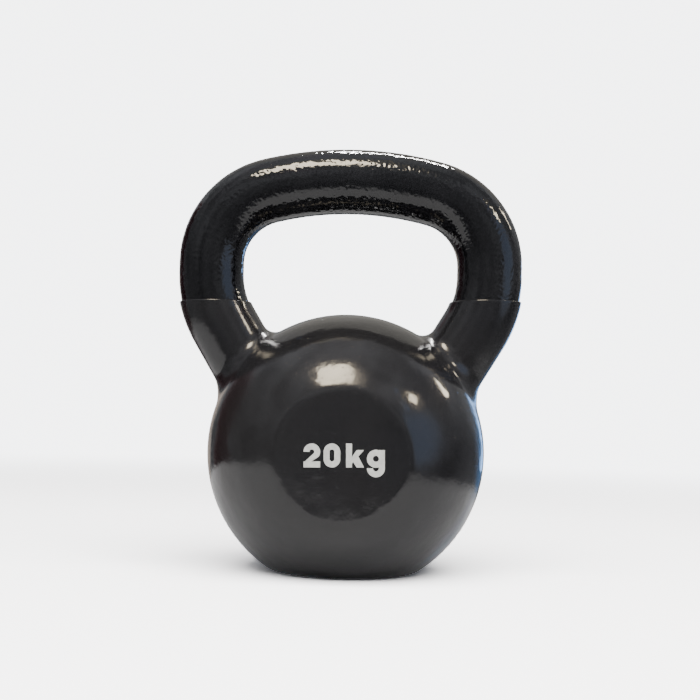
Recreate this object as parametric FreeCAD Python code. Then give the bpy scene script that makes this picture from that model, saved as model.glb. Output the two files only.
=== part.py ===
import FreeCAD, Part
import math
import os
from FreeCAD import Vector

# A 20 kg kettlebell: one grey-iron casting, a soft vinyl coat that it is dipped in
# up to a line across the horns, enamel on the bare bar above that line, and a
# printed weight mark. Millimetres, +Z up. X runs along the bar, the marked side
# faces -Y, and the origin is the middle of the flat foot that the bell rests on.

# ---- driving dimensions ------------------------------------------------------

# coats
VINYL = 1.5                     # thickness of the dipped coat
ENAMEL = 0.25                   # thickness of the paint on the bar
INK = 0.12                      # height of the printed mark above the vinyl

# ball of the casting, without its coat
BALL_RADIUS = 82.9
CENTRE_HEIGHT = 71.6            # middle of the ball above the ground
FOOT_ROUND = 8.5                # radius between the ball and its foot
DISH_OFFSET = 73.8              # axis of the ball to the flat of a dish
DISH_ROUND = 9.0                # radius round the edge of a dish

# bar of the casting: one round section swept over the horns and the grip
BAR_RADIUS = 19.65
BAR_TOP = 166.7                 # middle of the bar above the middle of the ball
BAR_REACH = 85.7                # middle of the bar at its widest, from the axis
GRIP_RADIUS = 204.0             # slow arch of the grip
SHOULDER_RADIUS = 46.6
SHOULDER_DROP = 6.4             # upright stretch below a shoulder
HORN_BEND_RADIUS = 63.6
HORN_LEAN = 31.0                # horn from the vertical, degrees
HORN_LENGTH = 60.0              # straight horn, ending inside the ball
ROOT_ROUND = 10.0               # radius where a horn grows out of the ball

# line that the vinyl reaches on the horns
DIP_HEIGHT = 164.0              # above the ground, on the axis
DIP_TILT = 1.15                 # degrees, higher at +X
RIM_ROUND = 0.8                 # radius on the outer edge of the vinyl

# printed mark: figures and letters of one stroke width
MARK_HEIGHT = 13.2              # height of a figure
MARK_STROKE = 3.3
FIGURE_WIDTH = 9.2
LETTER_WIDTH = 9.9
FIGURE_GAP = 1.9
WORD_GAP = 3.2
LETTER_GAP = 1.6
SMALL_HEIGHT = 9.6              # height of a letter without its stem
CROOK_END = 38.0                # crook of the two ends this far below level, degrees
SLANT_TOE = 2.6                 # depth of the two's slant where it reaches the left edge
SLANT_HEEL = 4.3                # where the slant leaves the foot of the two
KNEE_HEIGHT = 4.0               # where the arm and leg of the k meet its stem
ARM_RISE = 1.8                  # arm of the k at its stem, half its depth
LEG_RISE = 2.4                  # top of the leg of the k above the knee
LIMB_WIDTH = 4.1                # arm or leg of the k at its end, measured level
TAIL_DEPTH = 0.4                # middle of the tail's hook below the line
MARK_RIGHT = 1.3                # middle of the mark from the axis
MARK_UP = 1.0                   # middle of the figures above the middle of the ball
MARK_TURN = 1.4                 # degrees, anticlockwise on the marked side

# ---- values that follow from them --------------------------------------------

FAR = 400.0                     # longer than the object, for cutting blocks
TOUCH = 0.01                    # points this close are on each other
SEAM_ANGLE = 45.0               # where the ball's surface closes, clear of horns and dishes
UP = Vector(0, 0, 1)
ORIGIN = Vector(0, 0, 0)
CENTRE = Vector(0, 0, CENTRE_HEIGHT)
HORN = math.radians(HORN_LEAN)
MARK_WIDTH = 2 * FIGURE_WIDTH + 2 * LETTER_WIDTH + FIGURE_GAP + WORD_GAP + LETTER_GAP


def line(start, end):
    return Part.LineSegment(start, end).toShape()


def arc(start, middle, end):
    return Part.Arc(start, middle, end).toShape()


def around(centre, radius, angle):
    """Point of a circle in the XZ plane, at an angle from +X towards +Z."""
    return centre + Vector(radius * math.cos(angle), 0, radius * math.sin(angle))


def middle_point(edge):
    return edge.valueAt((edge.FirstParameter + edge.LastParameter) / 2)


# ---- ball --------------------------------------------------------------------

def edges_around(shape, is_edge_point):
    return [edge for edge in shape.Edges if is_edge_point(middle_point(edge))]


def dished_ball(grow):
    """Ball on a flat foot, with a round flat in its front and its back, all soft-edged."""
    dish = DISH_OFFSET + grow
    foot = VINYL - grow
    sphere = Part.makeSphere(BALL_RADIUS + grow).rotate(ORIGIN, UP, SEAM_ANGLE).translate(CENTRE)
    slab = Part.makeBox(FAR, 2 * dish, FAR, Vector(-FAR / 2, -dish, foot))
    cut_ball = sphere.common(slab)
    dish_edges = edges_around(cut_ball, lambda point: abs(abs(point.y) - dish) < TOUCH)
    cut_ball = cut_ball.makeFillet(DISH_ROUND + grow, dish_edges)
    foot_edges = edges_around(cut_ball, lambda point: abs(point.z - foot) < TOUCH)
    return cut_ball.makeFillet(FOOT_ROUND + grow, foot_edges)


# ---- bar ---------------------------------------------------------------------

def bar_path():
    """Middle line of the bar, out of the ball by one horn and back in by the other."""
    shoulder_x = BAR_REACH - SHOULDER_RADIUS
    arch = math.acos(shoulder_x / (GRIP_RADIUS - SHOULDER_RADIUS))
    grip_centre = CENTRE + UP * (BAR_TOP - GRIP_RADIUS)
    shoulder_centre = around(grip_centre, GRIP_RADIUS - SHOULDER_RADIUS, arch)
    bend_centre = shoulder_centre + Vector(SHOULDER_RADIUS - HORN_BEND_RADIUS, 0, -SHOULDER_DROP)

    grip_end = around(grip_centre, GRIP_RADIUS, arch)
    shoulder_end = around(shoulder_centre, SHOULDER_RADIUS, 0)
    bend_start = around(bend_centre, HORN_BEND_RADIUS, 0)
    horn_start = around(bend_centre, HORN_BEND_RADIUS, -HORN)
    horn_end = horn_start - Vector(math.sin(HORN), 0, math.cos(HORN)) * HORN_LENGTH
    half = [
        line(horn_end, horn_start),
        arc(horn_start, around(bend_centre, HORN_BEND_RADIUS, -HORN / 2), bend_start),
        line(bend_start, shoulder_end),
        arc(shoulder_end, around(shoulder_centre, SHOULDER_RADIUS, arch / 2), grip_end),
    ]
    other_half = [edge.mirror(ORIGIN, Vector(1, 0, 0)) for edge in half]
    grip = arc(grip_end, grip_centre + UP * GRIP_RADIUS, Vector(-grip_end.x, 0, grip_end.z))
    path = Part.Wire(Part.__sortEdges__(half + [grip] + other_half))
    return path, horn_end, horn_start - horn_end


def bar(grow):
    path, end, along = bar_path()
    section = Part.Wire(Part.makeCircle(BAR_RADIUS + grow, end, along))
    return path.makePipeShell([section], True, True)


# ---- casting and its coats ---------------------------------------------------

def touches(point, *skins):
    vertex = Part.Vertex(point)
    return all(vertex.distToShape(skin)[0] < TOUCH for skin in skins)


def casting(grow):
    """The iron with all its faces moved out by grow."""
    whole_ball = dished_ball(grow)
    whole_bar = bar(grow)
    shape = whole_ball.fuse(whole_bar)
    skins = whole_ball.Shells[0], whole_bar.Shells[0]
    roots = edges_around(shape, lambda point: touches(point, *skins))
    return shape.makeFillet(ROOT_ROUND - grow, roots).Solids[0]


def above_dip_line():
    block = Part.makeBox(FAR, FAR, FAR, Vector(-FAR / 2, -FAR / 2, DIP_HEIGHT))
    return block.rotate(Vector(0, 0, DIP_HEIGHT), Vector(0, 1, 0), -DIP_TILT)


def vinyl_jacket():
    """Skin round the ball and the lower horns, open where it stops on each horn."""
    cut_away = above_dip_line()
    skin = casting(VINYL).cut(casting(0)).cut(cut_away)
    skins = bar(VINYL).Shells[0], cut_away.Shells[0]
    rims = edges_around(skin, lambda point: touches(point, *skins))
    return skin.makeFillet(RIM_ROUND, rims).Solids[0]


def handle_enamel():
    """Paint on the bar between the two rims of the vinyl."""
    return bar(ENAMEL).cut(bar(0)).common(above_dip_line()).Solids[0]


# ---- printed mark ------------------------------------------------------------

def block(left, low, right, high):
    corners = [(left, low), (right, low), (right, high), (left, high)]
    return outline(corners)


def outline(corners):
    points = [Vector(x, 0, z) for x, z in corners]
    return Part.Face(Part.makePolygon(points + points[:1]))


def disc(x, z, radius):
    return Part.Face(Part.Wire(Part.makeCircle(radius, Vector(x, 0, z), Vector(0, 1, 0))))


def ring(x, z, radius):
    return disc(x, z, radius).cut(disc(x, z, radius - MARK_STROKE))


def capsule(inset):
    """Tall round-ended shape of a nought, drawn in by inset."""
    end = FIGURE_WIDTH / 2
    sides = block(inset, end, FIGURE_WIDTH - inset, MARK_HEIGHT - end)
    low = disc(end, end, end - inset)
    high = disc(end, MARK_HEIGHT - end, end - inset)
    return sides.fuse([low, high])


def figure_two():
    radius = FIGURE_WIDTH / 2
    crook_z = MARK_HEIGHT - radius
    lean = math.radians(CROOK_END)
    crook = ring(radius, crook_z, radius)
    # the lower left of the crook is open, left of the slanting stroke
    reach = Vector(math.cos(lean), 0, -math.sin(lean))
    middle = Vector(radius, 0, crook_z)
    outer = middle + reach * radius
    inner = middle + reach * (radius - MARK_STROKE)
    clear = -MARK_STROKE
    open_part = outline([(clear, crook_z), (radius, crook_z), (inner.x, inner.z),
                         (outer.x, outer.z), (outer.x, clear), (clear, clear)])
    slant = outline([(outer.x, outer.z), (inner.x, inner.z), (0, SLANT_TOE), (0, 0),
                     (SLANT_HEEL, MARK_STROKE)])
    foot = block(0, 0, FIGURE_WIDTH, MARK_STROKE)
    return crook.cut(open_part).fuse([slant, foot])


def figure_nought():
    return capsule(0).cut(capsule(MARK_STROKE))


def letter_k():
    stem = block(0, 0, MARK_STROKE, MARK_HEIGHT)
    limb = LETTER_WIDTH - LIMB_WIDTH
    arm = outline([(MARK_STROKE, KNEE_HEIGHT - ARM_RISE), (LETTER_WIDTH, SMALL_HEIGHT),
                   (limb, SMALL_HEIGHT), (MARK_STROKE, KNEE_HEIGHT + ARM_RISE)])
    leg = outline([(LETTER_WIDTH, 0), (2 * MARK_STROKE, KNEE_HEIGHT + LEG_RISE),
                   (MARK_STROKE, KNEE_HEIGHT), (limb, 0)])
    return stem.fuse([arm, leg])


def letter_g():
    radius = LETTER_WIDTH / 2
    bowl = ring(radius, SMALL_HEIGHT / 2, radius)
    stem = block(LETTER_WIDTH - MARK_STROKE, -TAIL_DEPTH, LETTER_WIDTH, SMALL_HEIGHT)
    hook = ring(radius, -TAIL_DEPTH, radius).common(block(0, -FAR, LETTER_WIDTH, -TAIL_DEPTH))
    return bowl.fuse([stem, hook])


def weight_mark():
    """Row of separate printed figures and letters on the flat of the front dish."""
    signs = [
        (figure_two(), FIGURE_WIDTH + FIGURE_GAP),
        (figure_nought(), FIGURE_WIDTH + WORD_GAP),
        (letter_k(), LETTER_WIDTH + LETTER_GAP),
        (letter_g(), LETTER_WIDTH),
    ]
    place = Vector(MARK_RIGHT, -DISH_OFFSET - VINYL, CENTRE_HEIGHT + MARK_UP)
    left = -MARK_WIDTH / 2
    printed = []
    for sign, advance in signs:
        sign.translate(Vector(left, 0, -MARK_HEIGHT / 2))
        sign.rotate(ORIGIN, Vector(0, -1, 0), MARK_TURN)
        sign.translate(place)
        slices = [face.extrude(Vector(0, -INK, 0)) for face in sign.Faces]
        whole = slices[0].fuse(slices[1:]) if len(slices) > 1 else slices[0]
        printed.append(whole.removeSplitter().Solids[0])
        left += advance
    return Part.makeCompound(printed)


# ---- pieces ------------------------------------------------------------------

PIECES = {
    "iron_casting": casting(0),
    "vinyl_jacket": vinyl_jacket(),
    "handle_enamel": handle_enamel(),
    "weight_mark": weight_mark(),
}

os.makedirs("parts", exist_ok=True)
for name, shape in PIECES.items():
    shape.exportStep("parts/" + name + ".step")
    print(name, "valid", shape.isValid(), "solids", len(shape.Solids), "mm3", round(shape.Volume, 1))
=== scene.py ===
import math

import bmesh
import bpy
import numpy as np
from mathutils import Matrix, Vector


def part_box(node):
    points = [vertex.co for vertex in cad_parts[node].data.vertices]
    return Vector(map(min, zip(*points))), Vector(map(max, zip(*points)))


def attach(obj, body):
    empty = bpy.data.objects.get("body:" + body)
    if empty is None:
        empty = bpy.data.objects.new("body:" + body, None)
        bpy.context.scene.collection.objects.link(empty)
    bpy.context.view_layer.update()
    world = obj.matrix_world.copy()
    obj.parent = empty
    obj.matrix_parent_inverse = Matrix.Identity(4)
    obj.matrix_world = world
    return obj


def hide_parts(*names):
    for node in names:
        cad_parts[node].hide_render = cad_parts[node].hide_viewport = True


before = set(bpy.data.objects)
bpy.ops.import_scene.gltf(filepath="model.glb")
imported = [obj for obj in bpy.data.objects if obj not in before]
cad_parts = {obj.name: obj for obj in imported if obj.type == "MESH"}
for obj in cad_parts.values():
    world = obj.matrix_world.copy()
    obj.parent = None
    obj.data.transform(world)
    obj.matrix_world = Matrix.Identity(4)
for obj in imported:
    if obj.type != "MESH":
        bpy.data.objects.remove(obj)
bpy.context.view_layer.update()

scene = bpy.context.scene

# ---- camera ------------------------------------------------------------------
# The bell is seen nearly level with its middle, from close by, a little to the
# right of the middle of its marked side, and the camera is held slightly askew.
AIM = Vector((0, 0, 0.1239))
CAMERA_DISTANCE = 0.7386
CAMERA_HEIGHT = 0.0997
CAMERA_TURN = math.radians(1.57)
CAMERA_ROLL = 0.025
LENS = 61.75
SHIFT_X = 0.0032
SHIFT_Y = 0.0243

eye = Vector((
    math.sin(CAMERA_TURN) * CAMERA_DISTANCE,
    -math.cos(CAMERA_TURN) * CAMERA_DISTANCE,
    CAMERA_HEIGHT,
))
camera = bpy.data.objects.new("camera", bpy.data.cameras.new("camera"))
scene.collection.objects.link(camera)
look = (AIM - eye).to_track_quat("-Z", "Y").to_matrix().to_4x4()
camera.matrix_world = Matrix.Translation(eye) @ look @ Matrix.Rotation(CAMERA_ROLL, 4, "Z")
camera.data.lens = LENS
camera.data.sensor_width = 36
camera.data.shift_x = SHIFT_X
camera.data.shift_y = SHIFT_Y
camera.data.clip_start = 0.01
scene.camera = camera

# ---- floor and light -----------------------------------------------------------
# The bell stands on a wide sheet of pale paper that fades into a pale room. One broad
# soft lamp overhead lights it all, and the smaller lamps and glows show in the gloss.


class Value:
    """A number that varies over a surface: arithmetic on it adds Math nodes to its tree."""

    def __init__(self, owner, socket):
        self.owner = owner
        self.socket = socket

    def maths(self, operation, *others):
        return self.owner.node("ShaderNodeMath", {"operation": operation}, [self, *others])["Value"]

    def inverse(self):
        return self.maths("POWER", -1)

    def __add__(self, other):
        return self.maths("ADD", other)

    def __sub__(self, other):
        return self.maths("SUBTRACT", other)

    def __mul__(self, other):
        return self.maths("MULTIPLY", other)

    def __rsub__(self, other):
        return self * -1 + other

    __radd__ = __add__
    __rmul__ = __mul__

    def fade(self, low, high, at_low=0.0, at_high=1.0):
        """Smooth step: at_low where this is under low, at_high where it is over high."""
        settings = {"interpolation_type": "SMOOTHSTEP"}
        return self.owner.node("ShaderNodeMapRange", settings, [self, low, high, at_low, at_high])["Result"]


class Nodes:
    """A node tree being made. node() adds any node, sets it and links what it is given."""

    def __init__(self, tree):
        self.tree = tree
        tree.nodes.clear()

    def node(self, kind, settings=None, values=()):
        made = self.tree.nodes.new(kind)
        for name, value in (settings or {}).items():
            setattr(made, name, value)
        pairs = values.items() if isinstance(values, dict) else enumerate(values)
        for key, value in pairs:
            if isinstance(value, Value):
                self.tree.links.new(value.socket, made.inputs[key])
            else:
                made.inputs[key].default_value = value
        return {socket.name: Value(self, socket) for socket in made.outputs if socket.enabled}

    def noise(self, place, scale, detail=2.0, roughness=0.5, seed=0.0):
        values = {"Vector": place, "W": seed, "Scale": scale, "Detail": detail, "Roughness": roughness}
        return self.node("ShaderNodeTexNoise", {"noise_dimensions": "4D"}, values)["Fac"]

    def tint(self, mask, colour, other):
        return self.node("ShaderNodeMix", {"data_type": "RGBA"}, {0: mask, 6: colour, 7: other})["Result"]

    def bump(self, height, distance, strength=1.0, over=None):
        values = {"Height": height, "Distance": distance, "Strength": strength}
        if over:
            values["Normal"] = over
        return self.node("ShaderNodeBump", {}, values)["Normal"]

    def toward(self, way, direction):
        """How nearly a way follows a direction: 1 along it, 0 square to it."""
        return self.node("ShaderNodeVectorMath", {"operation": "DOT_PRODUCT"}, [way, direction])["Value"]

    def principled(self, **values):
        named = {key.replace("_", " "): value for key, value in values.items()}
        return self.node("ShaderNodeBsdfPrincipled", {}, named)["BSDF"]


def new_material(name):
    material = bpy.data.materials.new(name)
    material.use_nodes = True
    return material, Nodes(material.node_tree)


FLOOR_RADIUS = 12.0
FLOOR_SIDES = 96
PAPER = (0.88, 0.88, 0.885, 1)
LIT_PAPER = (2.5, 2.5, 2.52, 1)
POOL_MIDDLE = (-0.14, 0.0, 0.0)
LIT_INSIDE = 0.55               # the paper looks lit this near the pool's middle,
LIT_OUTSIDE = 1.6               # and like the pale room this far off
POOL_INSIDE = 0.32              # the gloss mirrors paper this near the pool's middle,
POOL_OUTSIDE = 0.54             # and the room behind it this far off
POOL_CLEARNESS = 0.32           # the room's share of what is mirrored inside the pool
PALE = (0.97, 0.98, 1.0, 1)
PALE_BRIGHTNESS = 5.5

floor_mesh = bpy.data.meshes.new("floor")
outline = []
for step in range(FLOOR_SIDES):
    angle = 2 * math.pi * step / FLOOR_SIDES
    outline.append((math.cos(angle) * FLOOR_RADIUS, math.sin(angle) * FLOOR_RADIUS, 0))
floor_mesh.from_pydata(outline, [], [tuple(range(FLOOR_SIDES))])
floor = bpy.data.objects.new("floor", floor_mesh)
scene.collection.objects.link(floor)

paper, nodes = new_material("floor_paper")
place = nodes.node("ShaderNodeTexCoord")["Object"]
rays = nodes.node("ShaderNodeLightPath")
away = nodes.node("ShaderNodeVectorMath", {"operation": "DISTANCE"}, [place, POOL_MIDDLE])["Value"]
shade = nodes.principled(Base_Color=PAPER, Roughness=0.9, Specular_IOR_Level=0.1)
clear = nodes.node("ShaderNodeBsdfTransparent")["BSDF"]
see_through = rays["Is Glossy Ray"] * away.fade(POOL_INSIDE, POOL_OUTSIDE, POOL_CLEARNESS, 1.0)
in_gloss = nodes.node("ShaderNodeMixShader", {}, [see_through, shade, clear])["Shader"]
lit = nodes.node("ShaderNodeBsdfDiffuse", {}, [LIT_PAPER])["BSDF"]
far = nodes.node("ShaderNodeEmission", {}, [PALE, PALE_BRIGHTNESS])["Emission"]
looked_at = nodes.node("ShaderNodeMixShader", {}, [away.fade(LIT_INSIDE, LIT_OUTSIDE), lit, far])["Shader"]
mixed = nodes.node("ShaderNodeMixShader", {}, [rays["Is Camera Ray"], in_gloss, looked_at])["Shader"]
nodes.node("ShaderNodeOutputMaterial", {}, [mixed])
floor_mesh.materials.append(paper)


def facing(turn, rise):
    """Unit vector out from the bell: turn is in degrees from its marked side to the right."""
    turn, rise = math.radians(turn), math.radians(rise)
    return Vector((math.sin(turn) * math.cos(rise), -math.cos(turn) * math.cos(rise), math.sin(rise)))


WARM = (1.0, 0.87, 0.66)
CREAM = (1.0, 0.86, 0.76)
IVORY = (1.0, 0.96, 0.88)
PLAIN = (1.0, 0.98, 0.96)
ROSE = (1.0, 0.36, 0.42)
SKY = (0.58, 0.72, 1.0)
COOL = (0.30, 0.54, 1.0)
GLOWS = [                       # turn, rise, edge, middle (degrees), brightness, colour
    (-14, 64, 20, 6, 1.5, WARM),
    (69, 37, 11, 3, 1.0, WARM),
    (64, 12, 28, 8, 1.3, SKY),
    (-124, 16, 18, 11, 0.07, ROSE),
    (-122, -8, 18, 11, 0.07, ROSE),
    (-158, 2, 14, 6, 0.8, CREAM),
    (152, -2, 14, 5, 0.65, COOL),
    (152, -20, 14, 5, 0.7, COOL),
    (172, 40, 40, 15, 0.5, IVORY),
]
ROOM_TINT = (0.93, 0.95, 1.0, 1)
ROOM_EVEN = 0.3                 # brightness that lights the bell from all round
ROOM_LOW = 0.22                 # brightness that its gloss mirrors, near the floor and overhead
ROOM_HIGH = 0.62

room = bpy.data.worlds.new("room")
room.use_nodes = True
scene.world = room
nodes = Nodes(room.node_tree)
way = nodes.node("ShaderNodeTexCoord")["Generated"]
patches = nodes.noise(way, 2.6, 2.0).fade(0.3, 0.7, 0.55, 1.5)
tone = nodes.toward(way, (0, 0, 1)).fade(-0.2, 0.9, ROOM_LOW, ROOM_HIGH) * patches
colour = ROOM_TINT
for turn, rise, edge, middle, brightness, tinge in GLOWS:
    aligned = nodes.toward(way, facing(turn, rise))
    mask = aligned.fade(math.cos(math.radians(edge)), math.cos(math.radians(middle)))
    tone = tone + (brightness - tone) * mask
    colour = nodes.tint(mask, colour, (*tinge, 1))
paths = nodes.node("ShaderNodeLightPath")
pale = nodes.node("ShaderNodeBackground", {}, [PALE, PALE_BRIGHTNESS])["Background"]
even = nodes.node("ShaderNodeBackground", {}, [ROOM_TINT, ROOM_EVEN])["Background"]
patchy = nodes.node("ShaderNodeBackground", {}, [colour, tone])["Background"]
unseen = nodes.node("ShaderNodeMixShader", {}, [paths["Is Glossy Ray"], even, patchy])["Shader"]
mixed = nodes.node("ShaderNodeMixShader", {}, [paths["Is Camera Ray"], unseen, pale])["Shader"]
nodes.node("ShaderNodeOutputWorld", {}, [mixed])

LAMP_AIM = Vector((0, 0, 0.12))


def lamp(name, turn, rise, distance, size, watts, colour, shape="RECTANGLE", twist=0, only_gloss=True):
    """Area lamp that faces the bell, by default seen in its gloss but adding no other light."""
    data = bpy.data.lights.new(name, "AREA")
    data.shape = shape
    data.size, data.size_y = size
    data.energy = watts
    data.color = colour
    made = bpy.data.objects.new(name, data)
    scene.collection.objects.link(made)
    place = LAMP_AIM + facing(turn, rise) * distance
    aim = facing(turn, rise).to_track_quat("Z", "Y").to_matrix().to_4x4()
    made.matrix_world = Matrix.Translation(place) @ aim @ Matrix.Rotation(math.radians(twist), 4, "Z")
    made.visible_diffuse = not only_gloss
    return made


# The overhead lamp gives the plain light on every surface, and no gloss mirrors it.
overhead = lamp("overhead_soft", 8, 64, 2.0, (2.6, 1.8), 125, PLAIN, only_gloss=False)
overhead.visible_glossy = False
lamp("crown_lamp", -18, 63, 1.4, (0.6, 0.46), 21, WARM, "ELLIPSE", twist=8)
lamp("back_lamp", 168, 61, 1.5, (0.58, 0.05), 24, PLAIN)
lamp("round_lamp", 69, 37, 1.4, (0.17, 0.17), 2.0, WARM, "ELLIPSE")
lamp("oval_lamp", 112, 32, 1.4, (0.14, 0.28), 2.4, WARM, "ELLIPSE")
lamp("right_window", 151, 2, 1.3, (0.14, 0.4), 1.0, COOL)
lamp("cool_strip", 58, 38, 1.4, (0.03, 0.4), 0.05, COOL)

# ---- iron casting --------------------------------------------------------------
# One pour of grey iron makes the ball, the horns and the grip. It is shot-blasted
# and then wholly covered, so its grey, grainy skin is inside the coats.
iron, nodes = new_material("blasted_iron")
place = nodes.node("ShaderNodeTexCoord")["Object"]
grain = nodes.noise(place, 900.0, 4.0)
shade = nodes.principled(
    Base_Color=(0.15, 0.145, 0.14, 1),
    Metallic=0.8,
    Roughness=grain * 0.3 + 0.45,
    Normal=nodes.bump(grain, 0.0002, 0.6),
)
nodes.node("ShaderNodeOutputMaterial", {}, [shade])
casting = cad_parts["iron_casting"]
casting.data.materials.clear()
casting.data.materials.append(iron)

# ---- vinyl jacket ----------------------------------------------------------------
# Hot casting dipped foot first in liquid PVC: a glossy rubbery skin over the ball
# and the lower horns, with soft edges and a rounded lip where the dip stopped.
VINYL = 0.0015
ENAMEL = 0.00025
BALL_CENTRE = Vector((0, 0, 0.0716))
BALL_RADIUS = 0.0829 + VINYL
DISH_ROUND = 0.009 + VINYL
FOOT_ROUND = 0.0085 + VINYL
ROOT_ROUND = 0.0085
GRIP_RADIUS = 0.204
SHOULDER_RADIUS = 0.0466
SHOULDER_DROP = 0.0064
HORN_BEND_RADIUS = 0.0636
HORN_LEAN = math.radians(31)
HORN_LENGTH = 0.06
DIP_HEIGHT = 0.1640             # on the middle line between the horns
DIP_TILT = math.radians(1.15)
DIP_REACH = 0.084               # how far out the dip line crosses the middle of a horn
LIP_ROUND = 0.0008
LIP_STEPS = 6
WALL_DEPTHS = (0.012, 0.006, 0.002, 0)

bar_low, bar_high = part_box("handle_enamel")
BAR_RADIUS = (bar_high.y - bar_low.y) / 2 - ENAMEL
BAR_REACH = bar_high.x - BAR_RADIUS - ENAMEL
BAR_TOP = bar_high.z - BAR_RADIUS - ENAMEL
DISH_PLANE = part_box("vinyl_jacket")[1].y


def on_arc(centre, radius, angle):
    """Point in the plane of the handle, which is written as (across, up)."""
    return centre + radius * np.array((math.cos(angle), math.sin(angle)))


# Middle line of the bar, from its top: the grip's arch, the shoulder, a short drop, the
# bend at the top of the horn and the straight horn. The other half is its mirror image.
GRIP_CENTRE = np.array((0, BAR_TOP - GRIP_RADIUS))
ARCH = math.acos((BAR_REACH - SHOULDER_RADIUS) / (GRIP_RADIUS - SHOULDER_RADIUS))
SHOULDER_CENTRE = on_arc(GRIP_CENTRE, GRIP_RADIUS - SHOULDER_RADIUS, ARCH)
SHOULDER_END = on_arc(SHOULDER_CENTRE, SHOULDER_RADIUS, 0)
BEND_CENTRE = SHOULDER_END - np.array((HORN_BEND_RADIUS, SHOULDER_DROP))
HORN_START = on_arc(BEND_CENTRE, HORN_BEND_RADIUS, -HORN_LEAN)
HORN_DOWN = -np.array((math.sin(HORN_LEAN), math.cos(HORN_LEAN)))


def from_arc(across, up, centre, radius, low, high):
    """Distance in the plane of the handle to an arc between two angles."""
    x, z = across - centre[0], up - centre[1]
    angle = np.clip(np.arctan2(z, x), low, high)
    return np.hypot(x - radius * np.cos(angle), z - radius * np.sin(angle))


def from_line(across, up, start, along, length):
    """Distance in the plane of the handle to a straight stretch."""
    x, z = across - start[0], up - start[1]
    reach = np.clip(x * along[0] + z * along[1], 0, length)
    return np.hypot(x - reach * along[0], z - reach * along[1])


def from_bar(points):
    """Distance of points to the middle line of the bar."""
    across, up = np.abs(points[..., 0]), points[..., 2]
    nearest = from_arc(across, up, GRIP_CENTRE, GRIP_RADIUS, ARCH, math.pi / 2)
    for other in (
        from_arc(across, up, SHOULDER_CENTRE, SHOULDER_RADIUS, 0, ARCH),
        from_line(across, up, SHOULDER_END, (0, -1), SHOULDER_DROP),
        from_arc(across, up, BEND_CENTRE, HORN_BEND_RADIUS, -HORN_LEAN, 0),
        from_line(across, up, HORN_START, HORN_DOWN, HORN_LENGTH),
    ):
        nearest = np.minimum(nearest, other)
    return np.hypot(nearest, points[..., 1])


def from_cut_ball(points, direction, plane, edge_round):
    """Distance to the ball with one flat cut: a smaller cut ball, grown by the round of its edge."""
    radius = BALL_RADIUS - edge_round
    height = plane - edge_round
    rim = math.sqrt(radius ** 2 - height ** 2)
    offset = points - np.array(BALL_CENTRE)
    along = offset @ np.array(direction, float)
    aside = np.sqrt(np.maximum((offset ** 2).sum(-1) - along ** 2, 0))
    to_ball = np.hypot(along, aside) - radius
    to_flat = np.where(aside < rim, along - height, np.hypot(along - height, aside - rim))
    inside_near_flat = rim ** 2 * (radius - height + 2 * along) - (height + radius) * aside ** 2
    outside_near_flat = rim * along - height * aside
    near_ball = np.maximum(inside_near_flat, outside_near_flat) < 0
    return np.where(near_ball, to_ball, to_flat) - edge_round


def from_ball(points):
    """Distance to the coated ball, with its two dishes and its foot cut flat."""
    front = from_cut_ball(points, (0, -1, 0), DISH_PLANE, DISH_ROUND)
    back = from_cut_ball(points, (0, 1, 0), DISH_PLANE, DISH_ROUND)
    under = from_cut_ball(points, (0, 0, -1), BALL_CENTRE.z, FOOT_ROUND)
    return np.maximum(np.maximum(front, back), under)


def from_coated_bar(points):
    return from_bar(points) - BAR_RADIUS - VINYL


def from_skin(points):
    """Distance to the outside of the vinyl, were it to go on over the whole handle.

    Ball and horn meet in a round hollow, which is measured from both of them at once."""
    ball = from_ball(points)
    bar = from_coated_bar(points)
    hollow = np.hypot(np.maximum(ROOT_ROUND - ball, 0), np.maximum(ROOT_ROUND - bar, 0))
    return np.maximum(ROOT_ROUND, np.minimum(ball, bar)) - hollow


RAY_STEPS = 60


def cast_ring(centre, down, reach, distance, level, count):
    """Ring of points where rays from outside, aimed at the centre in one plane, meet a surface.

    The surface is where the distance function gives the level. A level below 0 lies inside it."""
    turn = np.linspace(0, 2 * math.pi, count, endpoint=False)
    down = np.array((down[0], 0.0, down[1]))
    way = np.cos(turn)[:, None] * down + np.sin(turn)[:, None] * np.array((0.0, 1.0, 0.0))
    length = np.full(count, reach)
    centre = np.array((centre[0], 0.0, centre[1]))
    for _ in range(RAY_STEPS):
        length -= distance(centre + length[:, None] * way) - level
    return centre + length[:, None] * way


AROUND = 352
BALL_ROWS = 84
HORN_ROWS = 26
LINING_AROUND = 88
LINING_BALL_ROWS = 18
LINING_HORN_ROWS = 6
HINGE_RISE = 0.126              # slices of the ball turn about a line this far above its centre
ROOT_ANGLE = 0.262              # and the first one runs round the root of the horn
OVER_BALL = 0.014               # rays start this far outside the ball,
OUT_OF_HORN = 0.036             # this far from the middle line of a horn
OUT_OF_LIP = 0.034              # and this far from it at the lip


def ball_place(swing):
    """Centre, downward way and radius of the slice whose edge is a swing away from its axis."""
    slope = math.acos(math.cos(swing) * BALL_RADIUS / HINGE_RISE)
    depth = HINGE_RISE * math.cos(slope)
    middle = np.array((0, BALL_CENTRE.z))
    centre = on_arc(middle, depth, math.pi / 2 - slope)
    down = centre - middle - np.array((0, HINGE_RISE))
    return centre, down / np.linalg.norm(down), BALL_RADIUS * math.sin(swing)


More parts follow.
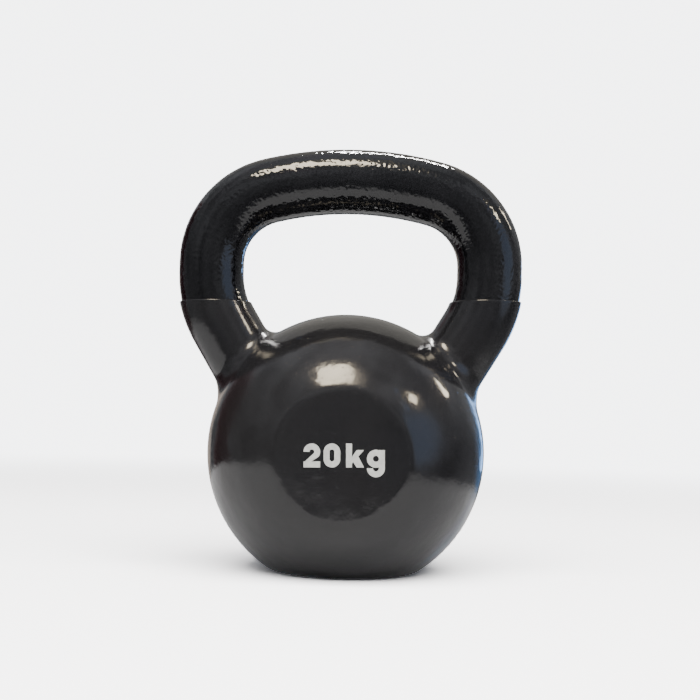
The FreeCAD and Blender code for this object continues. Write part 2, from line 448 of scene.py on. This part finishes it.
def horn_place(share, side):
    """Centre and outward way of a slice of the horn, from its root to the dip line."""
    root, root_down, _ = ball_place(ROOT_ANGLE)
    tilt = DIP_TILT * side
    lip_height = DIP_HEIGHT + DIP_REACH * math.tan(tilt)
    lip_angle = math.asin((lip_height - BEND_CENTRE[1]) / HORN_BEND_RADIUS)
    straight = np.linalg.norm(HORN_START - root)
    curved = HORN_BEND_RADIUS * (lip_angle + HORN_LEAN)
    travel = share * (straight + curved)
    if travel < straight:
        centre = root + (HORN_START - root) * travel / straight
    else:
        centre = on_arc(BEND_CENTRE, HORN_BEND_RADIUS, (travel - straight) / HORN_BEND_RADIUS - HORN_LEAN)
    start = math.atan2(root_down[1], root_down[0])
    turn = start + (tilt - start) * share
    return centre, np.array((math.cos(turn), math.sin(turn)))


def horn_ring(share, side, level, count):
    centre, outward = horn_place(share, side)
    return cast_ring(centre, outward, OUT_OF_HORN, from_skin, level, count)


def ball_ring(share, level, count):
    """Ring on the ball, from the horn's root to the middle of the ball."""
    centre, down, radius = ball_place(ROOT_ANGLE + (math.pi / 2 - ROOT_ANGLE) * share)
    return cast_ring(centre, down, radius + OVER_BALL, from_skin, level, count)


def mirrored(ring):
    return ring * np.array((-1, 1, 1))


def half_of_jacket(side):
    """Rings from the inside of the lip, over it and down the horn, to the middle of the ball."""
    lip_centre, across = horn_place(1, side)
    below = np.array((across[1], -across[0]))

    def lip_ring(depth, inset):
        return cast_ring(lip_centre + below * depth, across, OUT_OF_LIP, from_coated_bar, -inset, AROUND)

    rings = [lip_ring(depth, VINYL) for depth in WALL_DEPTHS]
    for step in range(LIP_STEPS + 1):
        angle = math.pi / 2 * step / LIP_STEPS
        rings.append(lip_ring(LIP_ROUND * (1 - math.cos(angle)), LIP_ROUND * (1 - math.sin(angle))))
    for step in range(1, HORN_ROWS + 1):
        rings.append(horn_ring(1 - step / HORN_ROWS, side, 0, AROUND))
    for step in range(1, BALL_ROWS + 1):
        rings.append(ball_ring(step / BALL_ROWS, 0, AROUND))
    return rings


def half_of_lining(side):
    """Coarse rings of the coat's inner face, from just under the lip to the middle of the ball."""
    rings = []
    for step in range(1, LINING_HORN_ROWS):
        rings.append(horn_ring(1 - step / LINING_HORN_ROWS, side, -VINYL, LINING_AROUND))
    for step in range(LINING_BALL_ROWS + 1):
        rings.append(ball_ring(step / LINING_BALL_ROWS, -VINYL, LINING_AROUND))
    return rings


def joined(half):
    """One row of rings from the left horn to the right one."""
    return [mirrored(ring) for ring in half(-1)] + half(1)[-2::-1]


def add_tube(shell, rings):
    """Rings as a tube of four-sided faces. Its first and last rings of edges are handed back."""
    rows = [[shell.verts.new(point) for point in ring] for ring in rings]
    for row, following in zip(rows, rows[1:]):
        for here in range(len(row)):
            after = (here + 1) % len(row)
            shell.faces.new((row[here], row[after], following[after], following[here]))
    return rows[0], rows[-1]


def zip_rings(shell, fine, coarse):
    """Closes the gap between two rings, where each coarse point has its share of fine ones."""
    share = len(fine) // len(coarse)
    for here in range(len(coarse)):
        after = (here + 1) % len(coarse)
        fan = [fine[(here * share + step) % len(fine)] for step in range(share + 1)]
        shell.faces.new((coarse[after], coarse[here], *fan))


shell = bmesh.new()
outer_ends = add_tube(shell, joined(half_of_jacket))
inner_ends = add_tube(shell, joined(half_of_lining))
for fine, coarse in zip(outer_ends, inner_ends):
    zip_rings(shell, fine, coarse)
bmesh.ops.recalc_face_normals(shell, faces=shell.faces)
jacket_mesh = bpy.data.meshes.new("dipped_vinyl_jacket")
shell.to_mesh(jacket_mesh)
shell.free()
jacket_mesh.shade_smooth()
jacket = bpy.data.objects.new("dipped_vinyl_jacket", jacket_mesh)
scene.collection.objects.link(jacket)

vinyl, nodes = new_material("black_vinyl")
place = nodes.node("ShaderNodeTexCoord")["Object"]
smear = nodes.noise(place, 22.0, 4.0, 0.6)
film = nodes.noise(place, 9.0, 2.0, seed=3.0)
sag = nodes.noise(place, 28.0, 1.0, seed=5.0)
ripple = nodes.noise(place, 130.0, 2.0, seed=6.0)
specks = nodes.noise(place, 620.0, 1.0, seed=7.0).fade(0.70, 0.76)
surface = nodes.bump(sag, 0.0014)
surface = nodes.bump(ripple, 0.0002, 1.0, surface)
surface = nodes.bump(specks, 0.0001, 0.7, surface)
shade = nodes.principled(
    Base_Color=nodes.tint(film.fade(0.35, 0.7), (0.0065, 0.0065, 0.0078, 1), (0.0115, 0.011, 0.0112, 1)),
    Roughness=smear.fade(0.36, 0.66, 0.09, 0.21),
    Normal=surface,
)
nodes.node("ShaderNodeOutputMaterial", {}, [shade])
jacket_mesh.materials.append(vinyl)
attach(jacket, "root")
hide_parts("vinyl_jacket")

# ---- handle enamel ---------------------------------------------------------------
# Gloss black enamel sprayed on the bare grip above the dip line and baked. It is thin,
# so the swells, grains and pits of the sand-cast iron show right through it.
ENAMEL_LAP = 0.0004             # how far the coat runs down past the dip line
ENAMEL_INSIDE = 0.00002         # how far its inner face is clear of the iron
PATH_OVER = 0.008               # how far the swept line runs down past the dip line
ARCH_STEPS = 24
SHOULDER_STEPS = 32
BEND_STEPS = 12


def arc_points(centre, radius, start, end, steps):
    return [on_arc(centre, radius, start + (end - start) * step / steps) for step in range(steps + 1)]


def bar_points():
    """Middle line of the bar from below one dip line to below the other."""
    low = math.asin((DIP_HEIGHT - PATH_OVER - BEND_CENTRE[1]) / HORN_BEND_RADIUS)
    half = arc_points(GRIP_CENTRE, GRIP_RADIUS, math.pi / 2, ARCH, ARCH_STEPS)
    half += arc_points(SHOULDER_CENTRE, SHOULDER_RADIUS, ARCH, 0, SHOULDER_STEPS)[1:]
    half += arc_points(BEND_CENTRE, HORN_BEND_RADIUS, 0, low, BEND_STEPS)
    other = [point * np.array((-1, 1)) for point in half[:0:-1]]
    return [(x, 0.0, z) for x, z in other + half]


line = bpy.data.curves.new("bar_line", "CURVE")
line.dimensions = "3D"
spline = line.splines.new("POLY")
points = bar_points()
spline.points.add(len(points) - 1)
for point, place in zip(spline.points, points):
    point.co = (*place, 1)
bar_line = bpy.data.objects.new("bar_line", line)
scene.collection.objects.link(bar_line)


def cast_skin_tree():
    """Sweeps a round bar along a path and sinks its skin by swells, grains and pits."""
    tree = bpy.data.node_groups.new("sand_cast_skin", "GeometryNodeTree")
    kinds = {
        "Path": "Geometry", "Bar Radius": "Float", "Points Along": "Int", "Points Around": "Int",
        "Swell": "Float", "Swell Size": "Float", "Grain": "Float", "Grain Size": "Float",
        "Pit Depth": "Float", "Pit Spacing": "Float", "Seed": "Float", "Finish": "Material",
    }
    for name, kind in kinds.items():
        tree.interface.new_socket(name, in_out="INPUT", socket_type="NodeSocket" + kind)
    tree.interface.new_socket("Skin", in_out="OUTPUT", socket_type="NodeSocketGeometry")
    nodes = Nodes(tree)
    given = nodes.node("NodeGroupInput")
    seed = given["Seed"]
    place = nodes.node("GeometryNodeInputPosition")["Position"]
    swell_scale = given["Swell Size"].inverse()
    grain_scale = given["Grain Size"].inverse()
    swell = nodes.noise(place, swell_scale, 1.0, 0.5, seed).fade(0.34, 0.66)
    grain = nodes.noise(place, grain_scale, 1.0, 0.5, seed + 11).fade(0.34, 0.66)
    rough = nodes.noise(place, swell_scale * 0.6, 1.0, 0.5, seed + 23).fade(0.38, 0.66)
    cells = {"Vector": place, "W": seed, "Scale": given["Pit Spacing"].inverse(), "Randomness": 1.0}
    holes = nodes.node("ShaderNodeTexVoronoi", {"voronoi_dimensions": "4D"}, cells)["Distance"]
    pit = holes.fade(0.08, 0.34, 1.0, 0.0)
    sink = swell * given["Swell"] + grain * given["Grain"] * (rough * 0.5 + 0.5)
    sink = sink + pit * rough * given["Pit Depth"]
    normal = nodes.node("GeometryNodeInputNormal")["Normal"]
    inward = {0: normal, "Scale": sink * -1}
    offset = nodes.node("ShaderNodeVectorMath", {"operation": "SCALE"}, inward)["Vector"]
    along = {"Curve": given["Path"], "Count": given["Points Along"]}
    path = nodes.node("GeometryNodeResampleCurve", {}, along)["Curve"]
    around = {"Resolution": given["Points Around"], "Radius": given["Bar Radius"]}
    ring = nodes.node("GeometryNodeCurvePrimitiveCircle", {}, around)["Curve"]
    tube = nodes.node("GeometryNodeCurveToMesh", {}, {"Curve": path, "Profile Curve": ring})["Mesh"]
    moved = nodes.node("GeometryNodeSetPosition", {}, {"Geometry": tube, "Offset": offset})["Geometry"]
    smooth = nodes.node("GeometryNodeSetShadeSmooth", {}, {"Geometry": moved})["Geometry"]
    real = nodes.node("GeometryNodeRealizeInstances", {}, {"Geometry": smooth})["Geometry"]
    finish = {"Geometry": real, "Material": given["Finish"]}
    dressed = nodes.node("GeometryNodeSetMaterial", {}, finish)["Geometry"]
    nodes.node("NodeGroupOutput", {}, {"Skin": dressed})
    return tree


def grown(source, tree, values):
    """Plain mesh that a Geometry Nodes tree makes from an object, with the inputs given by name."""
    modifier = source.modifiers.new("grow", "NODES")
    modifier.node_group = tree
    for item in tree.interface.items_tree:
        if item.in_out == "INPUT" and item.name in values:
            modifier[item.identifier] = values[item.name]
    graph = bpy.context.evaluated_depsgraph_get()
    mesh = bpy.data.meshes.new_from_object(source.evaluated_get(graph), depsgraph=graph)
    source.modifiers.remove(modifier)
    return mesh


enamel, nodes = new_material("black_enamel")
place = nodes.node("ShaderNodeTexCoord")["Object"]
fine = nodes.noise(place, 700.0, 3.0, 0.6)
grip_wear = nodes.noise(place, 30.0, 3.0, seed=2.0)
shade = nodes.principled(
    Base_Color=nodes.tint(grip_wear.fade(0.4, 0.7), (0.003, 0.003, 0.0036, 1), (0.006, 0.006, 0.0068, 1)),
    Roughness=grip_wear.fade(0.3, 0.7, 0.025, 0.06),
    Normal=nodes.bump(fine, 0.00004, 0.9),
)
nodes.node("ShaderNodeOutputMaterial", {}, [shade])

tree = cast_skin_tree()
skin = {
    "Bar Radius": BAR_RADIUS + ENAMEL, "Points Along": 480, "Points Around": 200,
    "Swell": 0.00002, "Swell Size": 0.006, "Grain": 0.00019, "Grain Size": 0.0014,
    "Pit Depth": 0.00003, "Pit Spacing": 0.0028, "Seed": 4.0, "Finish": enamel,
}
lining = skin | {
    "Bar Radius": BAR_RADIUS + ENAMEL_INSIDE, "Points Along": 60, "Points Around": 64,
    "Swell": 0.0, "Grain": 0.0, "Pit Depth": 0.0,
}
shell = bmesh.new()
for values in (skin, lining):
    shell.from_mesh(grown(bar_line, tree, values))
dip_normal = Vector((-math.sin(DIP_TILT), 0, math.cos(DIP_TILT)))
dip_place = Vector((0, 0, DIP_HEIGHT)) - dip_normal * ENAMEL_LAP
whole = shell.verts[:] + shell.edges[:] + shell.faces[:]
bmesh.ops.bisect_plane(shell, geom=whole, plane_co=dip_place, plane_no=dip_normal, clear_inner=True)
for side in (-1, 1):
    rim = [edge for edge in shell.edges if edge.is_boundary and edge.verts[0].co.x * side > 0]
    bmesh.ops.triangle_fill(shell, edges=rim, use_beauty=True, normal=dip_normal)
bmesh.ops.recalc_face_normals(shell, faces=shell.faces)
enamel_mesh = bpy.data.meshes.new("enamel_coat")
shell.to_mesh(enamel_mesh)
shell.free()
enamel_mesh.materials.clear()
enamel_mesh.materials.append(enamel)
bpy.data.objects.remove(bar_line)
coat = bpy.data.objects.new("enamel_coat", enamel_mesh)
scene.collection.objects.link(coat)
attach(coat, "root")
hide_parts("handle_enamel")

# ---- printed mark ------------------------------------------------------------------
# Pale grey pad-printed ink on the front dish, a plain weight in plain block figures.
# It lies 0.12 mm proud of the vinyl, satin, with the faint mottle of a pad print.
ink, nodes = new_material("pale_ink")
place = nodes.node("ShaderNodeTexCoord")["Object"]
mottle = nodes.noise(place, 420.0, 3.0)
shade = nodes.principled(
    Base_Color=nodes.tint(mottle.fade(0.35, 0.65), (0.45, 0.455, 0.425, 1), (0.53, 0.535, 0.50, 1)),
    Roughness=mottle * 0.2 + 0.4,
    Normal=nodes.bump(mottle, 0.00003, 0.5),
)
nodes.node("ShaderNodeOutputMaterial", {}, [shade])
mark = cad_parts["weight_mark"]
mark.data.materials.clear()
mark.data.materials.append(ink)
